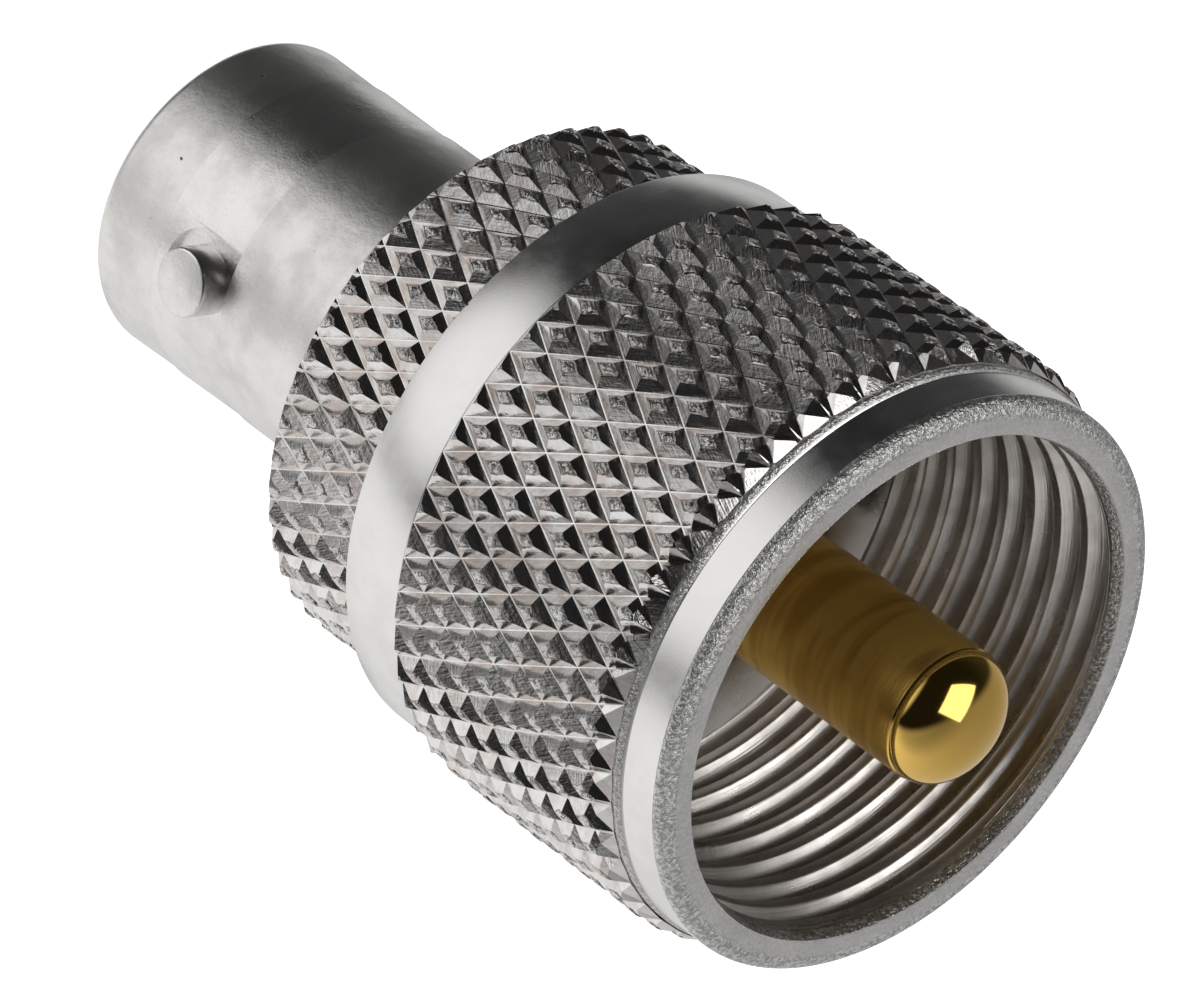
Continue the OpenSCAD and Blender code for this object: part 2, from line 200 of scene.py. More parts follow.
class Finishes(bpy.types.PropertyGroup):
    """Colours of the adapter's finishes"""

    bright: colour("Bright plating", "Plating of the coupling nut", (0.80, 0.79, 0.775))
    satin: colour("Satin plating", "Plating of the bayonet jack", (0.76, 0.75, 0.73))
    thread: colour("Thread plating", "Plating inside the coupling nut", (0.70, 0.66, 0.62))
    shell: colour("Shell plating", "Plating of the plug's shell", (0.70, 0.67, 0.64))
    gold: colour("Gold plating", "Plating of the pin and the socket", (0.80, 0.52, 0.13))
    bronze: colour("Bronze", "Spring bronze of the retaining ring", (0.60, 0.38, 0.22))
    insulator: colour("Insulator", "White fluoropolymer of the insulators", (0.90, 0.895, 0.87))
    floor: colour("Floor", "Colour of the floor", (0.86, 0.86, 0.86))


class StageSizes(bpy.types.PropertyGroup):
    """Camera and lights"""

    camera_at: FloatVectorProperty(
        name="Camera", description="Place of the camera", size=3, subtype="TRANSLATION", unit="LENGTH",
        default=(0.16762, -0.09667, 0.16234),
    )
    lens: FloatProperty(name="Lens", description="Focal length in millimetres", default=270, min=20)
    floor_size: length("Floor size", "Length of the floor's sides", 3)
    lamp_size: length("Lamp size", "Length of the softbox's sides", 0.36)
    lamp_distance: length("Lamp distance", "From the adapter to the softbox", 0.5)
    lamp_power: FloatProperty(
        name="Lamp power", description="Power of the softbox", default=0.9, min=0, unit="POWER"
    )
    sky: share("Sky", "Level of the light that reaches the matt surfaces from all round", 0.66)
    show_floor: BoolProperty(name="Floor", description="Shows the pale floor", default=True)


# Modelling

# Shares of a diamond's size and of its height, from the groove's edge to the torn top
DIAMOND_LEVELS = ((0.965, 0.01), (0.78, 0.29), (0.60, 0.54), (0.44, 0.75), (0.31, 0.92), (0.2, 1.0))


class Lattice:
    """Where a knurl's diamonds stand: their radii, their number round the nut, and their rows"""

    def __init__(self, floor_r, top_r, count, row, start, rows, turned):
        self.floor_r = floor_r
        self.top_r = top_r
        self.count = count
        self.row = row
        self.start = start
        self.rows = rows
        self.turned = turned


def clear_selection():
    """Leaves edit mode with nothing selected."""
    if bpy.context.object and bpy.context.object.mode != "OBJECT":
        bpy.ops.object.mode_set(mode="OBJECT")
    bpy.ops.object.select_all(action="DESELECT")


def name_piece(name):
    piece = bpy.context.object
    piece.name = name
    piece.data.name = name
    return piece


def draw_outline(name, outline):
    """Draws a closed outline of (x, z) points in the XZ plane and stays in edit mode."""
    clear_selection()
    bpy.ops.mesh.primitive_plane_add(size=MM, location=(0, 0, 0))
    piece = name_piece(name)
    bpy.ops.object.mode_set(mode="EDIT")
    bpy.ops.mesh.select_mode(type="VERT")
    bpy.ops.mesh.select_all(action="SELECT")
    bpy.ops.mesh.merge(type="CENTER")
    bpy.ops.transform.translate(value=(outline[0][0], 0, outline[0][1]))
    for (x0, z0), (x1, z1) in zip(outline, [*outline[1:], outline[0]]):
        bpy.ops.mesh.extrude_region_move(TRANSFORM_OT_translate={"value": (x1 - x0, 0, z1 - z0)})
    bpy.ops.mesh.select_all(action="SELECT")
    bpy.ops.mesh.remove_doubles(threshold=TINY)
    return piece


def turn(name, outline, centre=(0, 0, 0), axis=(0, 0, 1), steps=STEPS):
    """Spins a closed outline into a solid and returns to object mode."""
    piece = draw_outline(name, outline)
    bpy.ops.mesh.select_all(action="SELECT")
    bpy.ops.mesh.spin(steps=steps, angle=TURN, center=centre, axis=axis)
    tidy_mesh()
    return piece


def tidy_mesh():
    """Merges doubles, points the faces outwards and leaves edit mode."""
    bpy.ops.mesh.select_all(action="SELECT")
    bpy.ops.mesh.remove_doubles(threshold=TINY)
    bpy.ops.mesh.normals_make_consistent(inside=False)
    bpy.ops.object.mode_set(mode="OBJECT")


def make_active(piece):
    clear_selection()
    piece.select_set(True)
    bpy.context.view_layer.objects.active = piece


def apply_modifier(piece, kind, **settings):
    """Adds one modifier with these settings and applies it."""
    make_active(piece)
    bpy.ops.object.modifier_add(type=kind)
    modifier = piece.modifiers[-1]
    for key, value in settings.items():
        setattr(modifier, key, value)
    bpy.ops.object.modifier_apply(modifier=modifier.name)


def ease_edges(piece, width, segments=2, angle=math.radians(28)):
    """Rounds every edge that is sharper than an angle."""
    apply_modifier(
        piece, "BEVEL", limit_method="ANGLE", angle_limit=angle, width=width, segments=segments,
        use_clamp_overlap=True, miter_outer="MITER_ARC",
    )


def cut_with(piece, tool, operation="DIFFERENCE"):
    """Cuts a piece with a tool, which is then deleted."""
    apply_modifier(piece, "BOOLEAN", object=tool, operation=operation, solver="EXACT")
    make_active(tool)
    bpy.ops.object.delete()


def finish_piece(piece, material, body, nodes=(), angle=math.radians(32)):
    """Shades a piece, gives it its material and ties it to the frame."""
    make_active(piece)
    bpy.ops.object.shade_smooth_by_angle(angle=angle)
    piece.data.materials.clear()
    piece.data.materials.append(material)
    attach(piece, body)
    if nodes:
        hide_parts(*nodes)


def arc(centre_x, centre_z, radius, start, end, steps):
    """Points on an arc, with both ends."""
    angles = [start + (end - start) * i / steps for i in range(steps + 1)]
    return [(centre_x + radius * math.cos(a), centre_z + radius * math.sin(a)) for a in angles]


# Materials. Noise scales are per millimetre, and a tint is a share of the finish's own colour.

class Wiring:
    """Adds nodes to a node tree and links them as it goes"""

    def __init__(self, tree):
        self.tree = tree

    def plug(self, value, socket):
        if isinstance(value, bpy.types.NodeSocket):
            self.tree.links.new(value, socket)
        else:
            socket.default_value = value

    def add(self, kind, inputs=None, **settings):
        node = self.tree.nodes.new(kind)
        for key, value in settings.items():
            setattr(node, key, value)
        for key, value in (inputs or {}).items():
            self.plug(value, node.inputs[key])
        return node

    def math(self, operation, a, b=0.0, c=0.0):
        return self.add("ShaderNodeMath", {0: a, 1: b, 2: c}, operation=operation).outputs[0]

    def blend(self, value, low, high, start=0.0, end=1.0, kind="SMOOTHSTEP"):
        """Goes from start to end as value goes from low to high."""
        node = self.add(
            "ShaderNodeMapRange",
            {"Value": value, "From Min": low, "From Max": high, "To Min": start, "To Max": end},
            interpolation_type=kind,
        )
        return node.outputs[0]

    def between(self, value, low, high, edge):
        """1 where value is between low and high, 0 outside."""
        up = self.blend(value, low - edge, low + edge)
        down = self.blend(value, high - edge, high + edge, 1.0, 0.0)
        return self.math("MULTIPLY", up, down)

    def dot(self, vector, direction):
        inputs = {0: vector, 1: tuple(direction)}
        node = self.add("ShaderNodeVectorMath", inputs, operation="DOT_PRODUCT")
        return node.outputs["Value"]

    def mix(self, factor, a, b):
        node = self.tree.nodes.new("ShaderNodeMix")
        node.data_type = "RGBA"
        self.plug(factor, node.inputs[0])
        self.plug(a, node.inputs[6])
        self.plug(b, node.inputs[7])
        return node.outputs[2]

    def noise(self, vector, scale, detail=3.0, roughness=0.55):
        node = self.add(
            "ShaderNodeTexNoise",
            {"Vector": vector, "Scale": scale, "Detail": detail, "Roughness": roughness},
        )
        return node.outputs[0]

    def streaks(self, a, scale_a, b, scale_b, third, detail=3.0):
        """Noise over two scaled values, drawn out along the one with the lower scale."""
        place = self.vector(self.math("MULTIPLY", a, scale_a), self.math("MULTIPLY", b, scale_b), third)
        return self.noise(place, 1.0, detail)

    def specks(self, vector, scale, size):
        """1 on small round specks, 0 elsewhere."""
        node = self.add("ShaderNodeTexVoronoi", {"Vector": vector, "Scale": scale}, feature="F1")
        return self.blend(node.outputs["Distance"], size * 0.5, size, 1.0, 0.0)

    def vector(self, x, y, z):
        return self.add("ShaderNodeCombineXYZ", {0: x, 1: y, 2: z}).outputs[0]

    def bump(self, height, distance, strength=1.0, normal=None):
        inputs = {"Height": height, "Distance": distance, "Strength": strength}
        if normal is not None:
            inputs["Normal"] = normal
        return self.add("ShaderNodeBump", inputs).outputs[0]


class Finish(Wiring):
    """A material on object coordinates in millimetres, with the angle and radius round the axis"""

    def __init__(self, name):
        self.material = bpy.data.materials.new(name)
        self.material.use_nodes = True
        super().__init__(self.material.node_tree)
        self.shader = next(n for n in self.tree.nodes if n.type == "BSDF_PRINCIPLED")
        texture = self.add("ShaderNodeTexCoord").outputs["Object"]
        scale = (1 / MM, 1 / MM, 1 / MM)
        self.place = self.add("ShaderNodeMapping", {"Vector": texture, "Scale": scale}).outputs[0]
        split = self.add("ShaderNodeSeparateXYZ", {0: self.place})
        self.x, self.y, self.z = split.outputs
        self.angle = self.math("ARCTAN2", self.y, self.x)
        squares = [self.math("MULTIPLY", part, part) for part in (self.x, self.y)]
        self.radius = self.math("SQRT", self.math("ADD", *squares))

    def set(self, **values):
        names = {
            "color": "Base Color", "roughness": "Roughness", "metallic": "Metallic", "normal": "Normal",
            "specular": "Specular IOR Level",
        }
        for key, value in values.items():
            self.plug(value, self.shader.inputs[names[key]])

    def turned_lines(self, round_scale, out_scale, up_scale, detail):
        """Noise drawn out round the axis, as a lathe leaves it."""
        place = self.vector(
            self.math("MULTIPLY", self.angle, round_scale),
            self.math("MULTIPLY", self.radius, out_scale),
            self.math("MULTIPLY", self.z, up_scale),
        )
        return self.noise(place, 1.0, detail)

    def tipped(self, low, high, normal):
        """Tips the surface towards the rim between two heights, as the worn cone does."""
        climb = self.math("MAXIMUM", self.math("SUBTRACT", self.z, low / MM), 0.0)
        climb = self.math("MINIMUM", climb, (high - low) / MM)
        return self.bump(self.math("MULTIPLY", climb, -0.5), MM, 1.0, normal)

    def tint(self, colour, factor):
        """A colour multiplied by a factor, as a plain value."""
        return (*[c * factor for c in colour], 1.0)


def bright_plating(colour, sizes, rim_z):
    """Turned and plated nut: fine mottling, a few pits, a granular rim and strip."""
    f = Finish("bright_plating")
    cloud = f.noise(f.place, 0.9, 4.0, 0.6)
    grain = f.noise(f.place, 16.0, 3.0, 0.6)
    pits = f.math("MULTIPLY", f.specks(f.place, 0.9, 0.05), f.blend(f.noise(f.place, 1.7), 0.5, 0.56))
    cone, collar = sizes.levels()[3:]
    strip = f.between(f.z, cone / MM, collar / MM - 0.06, 0.05)
    chamfer = f.between(f.z, (rim_z - sizes.rim_h) / MM - 0.02, rim_z / MM - 0.005, 0.015)
    coarse = f.math("MAXIMUM", chamfer, f.math("MULTIPLY", strip, 0.8))
    gravel = f.noise(f.place, 8.5, 2.0, 0.7)
    tone = f.mix(f.blend(cloud, 0.35, 0.7), f.tint(colour, 0.93), f.tint(colour, 1.02))
    hollows = f.math("MULTIPLY", coarse, f.blend(gravel, 0.42, 0.6, 0.65, 0.0))
    tone = f.mix(hollows, tone, f.tint(colour, 0.30))
    tone = f.mix(pits, tone, f.tint(colour, 0.25))
    rough = f.math("ADD", f.blend(cloud, 0.3, 0.7, 0.20, 0.29), f.math("MULTIPLY", coarse, 0.16))
    height = f.math("ADD", f.math("MULTIPLY", grain, 0.25), f.math("MULTIPLY", cloud, 0.5))
    height = f.math("SUBTRACT", height, pits)
    smooth = f.bump(height, 0.01 * MM, 0.6)
    rugged = f.bump(f.math("MULTIPLY", gravel, coarse), 0.09 * MM, 0.8, f.tipped(cone, collar, smooth))
    f.set(color=tone, roughness=rough, metallic=1.0, normal=rugged)
    return f.material


def knurl_plating(name, colour, lattice, cone, collar):
    """Rolled knurl: smooth flanks with streaks along the grooves, torn and rough tops."""
    f = Finish(name)
    turned = f.math("SUBTRACT", f.angle, math.radians(lattice.turned))
    around = f.math("MULTIPLY", turned, lattice.count / TURN)
    along = f.math("MULTIPLY", f.math("SUBTRACT", f.z, lattice.start / MM), MM / lattice.row / 2)
    right = f.math("ADD", around, along)
    left = f.math("SUBTRACT", around, along)
    across = 15.0
    lengthwise = 1.2
    steep = f.streaks(right, across, left, lengthwise, 0.0)
    level = f.streaks(right, lengthwise, left, across, 5.0)
    dents = f.noise(f.place, 5.5, 3.0, 0.6)
    torn = f.noise(f.place, 2.6, 2.0, 0.5)
    top_at = f.math("MULTIPLY_ADD", torn, 0.16, lattice.top_r / MM - 0.15)
    top = f.blend(f.math("SUBTRACT", f.radius, top_at), -0.02, 0.025)
    patch = f.noise(f.place, 1.3, 3.0, 0.6)
    warm = (colour[0], colour[1] * 0.94, colour[2] * 0.91)
    tone = f.mix(f.blend(patch, 0.42, 0.62), f.tint(colour, 0.98), f.tint(warm, 0.86))
    scratch = f.math("MULTIPLY", top, f.blend(dents, 0.52, 0.6))
    tone = f.mix(f.math("MULTIPLY", scratch, 0.75), tone, f.tint(colour, 0.18))
    rough = f.math("ADD", f.blend(patch, 0.35, 0.65, 0.13, 0.18), f.math("MULTIPLY", top, 0.12))
    flank = f.bump(f.math("ADD", steep, level), 0.01 * MM, 0.4)
    torn_dents = f.math("MULTIPLY", dents, f.math("MULTIPLY_ADD", top, 0.96, 0.04))
    rugged = f.bump(torn_dents, 0.2 * MM, 0.85, flank)
    f.set(color=tone, roughness=rough, metallic=1.0, normal=f.tipped(cone, collar, rugged))
    return f.material


def thread_plating(colour):
    """Cut thread: fine turning lines round the bore."""
    f = Finish("thread_plating")
    lines = f.turned_lines(0.8, 14.0, 14.0, 3.0)
    cloud = f.noise(f.place, 0.7, 4.0, 0.6)
    tone = f.mix(f.blend(cloud, 0.4, 0.66), f.tint(colour, 1.04), f.tint(colour, 0.86))
    rough = f.blend(cloud, 0.3, 0.7, 0.26, 0.36)
    f.set(color=tone, roughness=rough, metallic=1.0, normal=f.bump(lines, 0.02 * MM, 0.5))
    return f.material


def satin_plating(colour, sizes):
    """Barrel: soft blotches, tiny dark pits and a different sheen on each turned stretch."""
    f = Finish("satin_plating")
    cloud = f.noise(f.place, 0.55, 5.0, 0.62)
    grain = f.noise(f.place, 11.0, 4.0, 0.65)
    pits = f.math("MULTIPLY", f.specks(f.place, 0.75, 0.06), f.blend(f.noise(f.place, 1.3), 0.52, 0.58))
    lines = f.turned_lines(0.9, 6.0, 22.0, 2.0)
    middle = f.between(f.z, sizes.step_a / MM, sizes.step_b / MM, 0.02)
    tone = f.mix(f.blend(cloud, 0.38, 0.66), f.tint(colour, 1.03), f.tint(colour, 0.90))
    tone = f.mix(f.math("MULTIPLY", f.blend(grain, 0.58, 0.68), 0.25), tone, f.tint(colour, 0.55))
    tone = f.mix(pits, tone, f.tint(colour, 0.12))
    rough = f.math("SUBTRACT", f.blend(cloud, 0.3, 0.7, 0.30, 0.42), f.math("MULTIPLY", middle, 0.07))
    height = f.math("ADD", f.math("MULTIPLY", grain, 0.5), f.math("MULTIPLY", lines, 0.25))
    smooth = f.bump(height, 0.02 * MM, 0.5)
    dimples = f.bump(f.math("ADD", cloud, f.math("MULTIPLY", pits, -0.6)), 0.07 * MM, 0.5, smooth)
    f.set(color=tone, roughness=rough, metallic=1.0, normal=dimples)
    return f.material


def gold_plating(name, colour, polished_from):
    """Gold over turned brass: lines along the shaft, polished above a height."""
    f = Finish(name)
    turning = f.math("MULTIPLY", f.angle, 0.7)
    lines = f.noise(f.vector(turning, 0.0, f.math("MULTIPLY", f.z, 18.0)), 1.0, 3.0)
    slow_turn = f.math("MULTIPLY", f.angle, 0.35)
    waves = f.noise(f.vector(slow_turn, 3.0, f.math("MULTIPLY", f.z, 1.4)), 1.0, 2.0)
    cloud = f.noise(f.place, 0.5, 2.0, 0.5)
    shaft = f.blend(f.z, polished_from / MM - 0.03, polished_from / MM + 0.01, 1.0, 0.0)
    amber = (colour[0], colour[1] * 0.93, colour[2] * 0.85)
    banded = f.math("MULTIPLY", shaft, f.blend(waves, 0.42, 0.6))
    tone = f.mix(banded, f.tint(colour, 1.0), f.tint(amber, 0.72))
    rough = f.math("ADD", f.blend(cloud, 0.3, 0.7, 0.07, 0.09), f.math("MULTIPLY", shaft, 0.17))
    normal = f.bump(f.math("MULTIPLY", lines, shaft), 0.012 * MM, 0.6)
    f.set(color=tone, roughness=rough, metallic=1.0, normal=normal)
    return f.material


def plain_metal(name, colour, rough_low, rough_high):
    """Turned metal with faint lines."""
    f = Finish(name)
    lines = f.turned_lines(1.0, 12.0, 12.0, 3.0)
    cloud = f.noise(f.place, 1.1, 4.0, 0.6)
    tone = f.mix(f.blend(cloud, 0.4, 0.66), f.tint(colour, 1.0), f.tint(colour, 0.88))
    rough = f.blend(cloud, 0.3, 0.7, rough_low, rough_high)
    f.set(color=tone, roughness=rough, metallic=1.0, normal=f.bump(lines, 0.015 * MM, 0.5))
    return f.material


def white_insulator(colour):
    """Turned white plastic with a waxy sheen."""
    f = Finish("insulator")
    lines = f.turned_lines(1.0, 9.0, 9.0, 2.0)
    cloud = f.noise(f.place, 1.5, 3.0)
    tone = f.mix(f.blend(cloud, 0.4, 0.65), f.tint(colour, 1.0), f.tint(colour, 0.94))
    rough = f.blend(cloud, 0.3, 0.7, 0.42, 0.55)
    ridges = f.bump(lines, 0.02 * MM, 0.6)
    f.set(color=tone, roughness=rough, metallic=0.0, specular=0.4, normal=ridges)
    return f.material


# Operators

class ADAPTER_OT_stage(bpy.types.Operator):
    """Sets the camera, the studio light and the pale floor"""

    bl_idname = "adapter.stage"
    bl_label = "Stage"

    def execute(self, context):
        sizes = context.scene.adapter_stage
        self.set_camera(context, sizes)
        self.set_world(context, sizes)
        self.set_lamp(sizes)
        if sizes.show_floor:
            self.set_floor(context, sizes)
        context.scene.view_settings.view_transform = "Standard"
        return {"FINISHED"}

    def set_camera(self, context, sizes):
        clear_selection()
        bpy.ops.object.camera_add(location=sizes.camera_at)
        camera = bpy.context.object
        camera.name = "camera"
        axes = Matrix((CAMERA_RIGHT, CAMERA_UP, CAMERA_BACK)).transposed()
        camera.rotation_euler = axes.to_euler()
        camera.data.lens = sizes.lens
        camera.data.sensor_width = 36
        camera.data.clip_start = 0.01
        camera.data.clip_end = 10
        context.scene.camera = camera

    def set_world(self, context, sizes):
        """White to the camera, plain to matt surfaces, and to metal a dark studio over a pale table."""
        world = bpy.data.worlds.new("studio")
        world.use_nodes = True
        context.scene.world = world
        world.node_tree.nodes.clear()
        w = Wiring(world.node_tree)
        direction = w.add("ShaderNodeTexCoord").outputs["Generated"]
        up = w.dot(direction, TABLE_UP)
        side = w.dot(direction, CAMERA_RIGHT)
        front = w.dot(direction, CAMERA_BACK)
        table_slope = -0.35
        table_level = 0.67
        sideways = w.math("MULTIPLY_ADD", side, table_slope, table_level)
        table = w.math("MULTIPLY", sideways, w.blend(front, 0.0, 0.6, 1.0, 0.5))
        ceiling = w.blend(front, -0.6, 0.3, 0.05, 0.012)
        left_level = 1.03
        left = w.blend(w.dot(direction, LEFT_LIGHT), 0.74, 0.96, 0.0, left_level)
        above = w.math("ADD", ceiling, left)
        on_table = w.blend(up, -0.14, 0.08, 1.0, 0.0)
        off_table = w.math("SUBTRACT", 1.0, on_table)
        lower = w.math("MULTIPLY", table, on_table)
        studio = w.math("ADD", lower, w.math("MULTIPLY", above, off_table))
        path = w.add("ShaderNodeLightPath")
        lift = w.math("SUBTRACT", sizes.sky, studio)
        seen = w.math("MULTIPLY_ADD", path.outputs["Is Diffuse Ray"], lift, studio)
        level = w.math("MAXIMUM", seen, path.outputs["Is Camera Ray"])
        background = w.add("ShaderNodeBackground", {"Color": level})
        output = w.add("ShaderNodeOutputWorld")
        w.plug(background.outputs[0], output.inputs[0])

    def set_lamp(self, sizes):
        clear_selection()
        bpy.ops.object.light_add(type="AREA", location=RIGHT_LIGHT * sizes.lamp_distance)
        lamp = bpy.context.object
        lamp.name = "softbox"
        lamp.rotation_euler = RIGHT_LIGHT.to_track_quat("Z", "Y").to_euler()
        lamp.data.shape = "SQUARE"
        lamp.data.size = sizes.lamp_size
        lamp.data.energy = sizes.lamp_power

    def set_floor(self, context, sizes):
        clear_selection()
        bpy.ops.mesh.primitive_grid_add(x_subdivisions=4, y_subdivisions=4, size=sizes.floor_size)
        floor = name_piece("floor")
        f = Finish("floor")
        tone = context.scene.adapter_finishes.floor
        cloud = f.noise(f.place, 0.004, 2.0)
        path = f.add("ShaderNodeLightPath").outputs["Is Camera Ray"]
        f.set(color=f.mix(cloud, f.tint(tone, 1.0), f.tint(tone, 0.985)), roughness=0.9, specular=0.0)
        strength = f.math("MULTIPLY", path, 0.75)
        glow = f.add("ShaderNodeEmission", {"Color": (1, 1, 1, 1), "Strength": strength})
        total = f.add("ShaderNodeAddShader", {0: f.shader.outputs[0], 1: glow.outputs[0]})
        below = f.add("ShaderNodeNewGeometry").outputs["Backfacing"]
        clear = f.add("ShaderNodeBsdfTransparent")
        surface = f.add("ShaderNodeMixShader", {0: below, 1: total.outputs[0], 2: clear.outputs[0]})
        output = next(n for n in f.tree.nodes if n.type == "OUTPUT_MATERIAL")
        f.plug(surface.outputs[0], output.inputs[0])
        floor.data.materials.append(f.material)
        floor.visible_glossy = False
        floor.visible_shadow = False


class ADAPTER_OT_nut(bpy.types.Operator):
    """Turns the coupling nut's body with its band, collar, rim and bore"""

    bl_idname = "adapter.nut"
    bl_label = "Nut body"

    def execute(self, context):
        s = context.scene.adapter_nut
        rim = NUT_HIGH.z
        rear, band, knurl, _, collar = s.levels()
        rear_core_r = s.rear_floor_r - s.under
        front_core_r = s.front_floor_r - s.under
        relief = knurl - s.band_len + 0.5 * MM
        lead = rim - s.lead_len
        depth = s.root_r - s.thread_r
        seat_low = rear + s.seat_z - s.seat_w / 2
        seat_high = seat_low + s.seat_w
        quarter = arc(0, 0, 1, 0, math.pi / 2, 8)
        nut = turn("nut_body", [
            (s.bore_r + 0.2 * MM, rear),
            (rear_core_r - 0.05 * MM, rear),
            (rear_core_r, rear + 0.05 * MM),
            (rear_core_r, band),
            (s.band_r, band),
            (s.band_r, knurl - 0.01 * MM),
            (front_core_r, knurl + 0.03 * MM),
            (front_core_r, s.cone_at(front_core_r)),
            (s.collar_r, collar),
            *[(s.collar_r - s.rim_w * (1 - x), rim - s.rim_h * (1 - z)) for x, z in quarter],
            (s.thread_r + 0.13 * MM, rim),
            (s.thread_r + 0.005 * MM, lead),
            (s.thread_r + 0.005 * MM, lead - 0.12 * MM),
            (s.root_r, lead - 0.12 * MM - depth * math.tan(math.radians(30))),
            (s.root_r, relief + s.relief_len + 0.1 * MM),
            (s.relief_r, relief + s.relief_len),
            (s.relief_r, relief),
            (s.thread_r, relief - 0.1 * MM),
            (s.thread_r, rear + s.lip_len),
            (s.bore_r, rear + s.lip_len),
            (s.bore_r, seat_high),
            (s.seat_r, seat_high),
            (s.seat_r, seat_low),
            (s.bore_r, seat_low),
            (s.bore_r, rear + 0.2 * MM),
        ], steps=192)
        ease_edges(nut, 0.035 * MM, angle=math.radians(15))
        finish_piece(nut, bright_plating(context.scene.adapter_finishes.bright, s, rim),
                     "nut", ["coupling_nut"])
        return {"FINISHED"}


class ADAPTER_OT_knurls(bpy.types.Operator):
    """Models one diamond of the knurl and copies it round the nut, row by row"""

    bl_idname = "adapter.knurls"
    bl_label = "Knurls"

    def execute(self, context):
        s = context.scene.adapter_nut
        tone = context.scene.adapter_finishes.bright
        rear, band, knurl, cone, _ = s.levels()
        deep = 3 * s.under
        gap = s.knurl_gap
        lattice = Lattice(
            s.rear_floor_r, s.rear_r, s.rear_count, s.rear_row, rear - s.rear_start, s.rear_rows,
            s.rear_turned,
        )
        self.make_knurl("knurl_rear", lattice, [
            (s.rear_floor_r - deep, rear + gap),
            (s.rear_floor_r, rear + gap),
            (s.rear_r + TINY, rear + gap + s.rear_r - s.rear_floor_r),
            (s.rear_r + TINY, band + gap),
            (s.rear_floor_r - deep, band + gap),
        ], tone)
        lattice = Lattice(
            s.front_floor_r, s.front_r, s.front_count, s.front_row, knurl + s.front_start, s.front_rows,
            s.front_turned,
        )
        last_r = s.front_floor_r - s.under * 0.7
        self.make_knurl("knurl_front", lattice, [
            (s.front_floor_r - deep, knurl + gap / 2),
            (s.front_floor_r - gap, knurl + gap / 2),
            (s.front_r + TINY, knurl + gap * 1.5 + s.front_r - s.front_floor_r),
            (s.front_r + TINY, cone),
            (last_r, s.cone_at(last_r)),
            (s.front_floor_r - deep, s.cone_at(last_r)),
        ], tone)
        return {"FINISHED"}

    def make_knurl(self, name, lattice, blank, tone):
        """Lays diamonds past both ends of a knurl and keeps what lies in the turned blank."""
        knurl = self.make_diamond(name, lattice)
        self.copy_round(lattice)
        self.close_ends(lattice)
        cut_with(knurl, turn("blank", blank, steps=240), "INTERSECT")
        cone, collar = bpy.context.scene.adapter_nut.levels()[3:]
        material = knurl_plating(name, tone, lattice, cone, collar)
        finish_piece(knurl, material, "nut", angle=math.radians(30))

    def make_diamond(self, name, lattice):
        """One raised diamond on the +X side, with its grooves' halves round it."""
        clear_selection()
        half_angle = math.pi / lattice.count
        half_width = lattice.floor_r * math.sin(half_angle)
        bpy.ops.mesh.primitive_circle_add(vertices=4, radius=1, fill_type="NGON")
        diamond = name_piece(name)
        bpy.ops.object.mode_set(mode="EDIT")
        bpy.ops.mesh.select_mode(type="VERT")
        bpy.ops.mesh.select_all(action="SELECT")
        bpy.ops.transform.rotate(value=math.pi / 2, orient_axis="Y", center_override=(0, 0, 0))
        bpy.ops.transform.resize(value=(0, half_width, lattice.row), center_override=(0, 0, 0))
        bpy.ops.transform.translate(value=(lattice.floor_r * math.cos(half_angle), 0, lattice.start))
        bpy.ops.mesh.select_mode(type="FACE")
        centre = (lattice.floor_r, 0, lattice.start)
        rise = lattice.top_r - lattice.floor_r
        share_before = 1.0
        height_before = 0.0
        for level, raised in DIAMOND_LEVELS:
            ratio = level / share_before
            bpy.ops.mesh.extrude_region_move(
                TRANSFORM_OT_translate={"value": ((raised - height_before) * rise, 0, 0)}
            )
            bpy.ops.transform.resize(value=(1, ratio, ratio), center_override=centre)
            share_before = level
            height_before = raised
        bpy.ops.object.mode_set(mode="OBJECT")
        self.bow(diamond, lattice, half_angle)
        return diamond

    def bow(self, diamond, lattice, half_angle):
        """Moves the two corners on the axis's line out, so that four diamonds meet in one point."""
        sagitta = lattice.floor_r * (1 - math.cos(half_angle))
        for vertex in diamond.data.vertices:
            share = abs(vertex.co.z - lattice.start) / lattice.row
            if share > 0.99:
                vertex.co.x += sagitta
            elif share > 0.9:
                vertex.co.x += sagitta * 0.8

    def copy_round(self, lattice):
        """Copies the diamond round the nut, and then the ring row by row, half a diamond further."""
        count = lattice.count
        last = TURN * (count - 1) / count
        bpy.ops.object.mode_set(mode="EDIT")
        bpy.ops.mesh.select_all(action="SELECT")
        bpy.ops.mesh.spin(steps=count - 1, dupli=True, angle=last, center=(0, 0, 0), axis=(0, 0, 1))
        bpy.ops.mesh.select_all(action="SELECT")
        for _ in range(lattice.rows - 1):
            bpy.ops.mesh.duplicate_move(TRANSFORM_OT_translate={"value": (0, 0, lattice.row)})
            bpy.ops.transform.rotate(value=math.pi / count, orient_axis="Z", center_override=(0, 0, 0))
        bpy.ops.mesh.select_all(action="SELECT")
        bpy.ops.mesh.remove_doubles(threshold=MEET)
        turned = math.radians(lattice.turned)
        bpy.ops.transform.rotate(value=-turned, orient_axis="Z", center_override=(0, 0, 0))

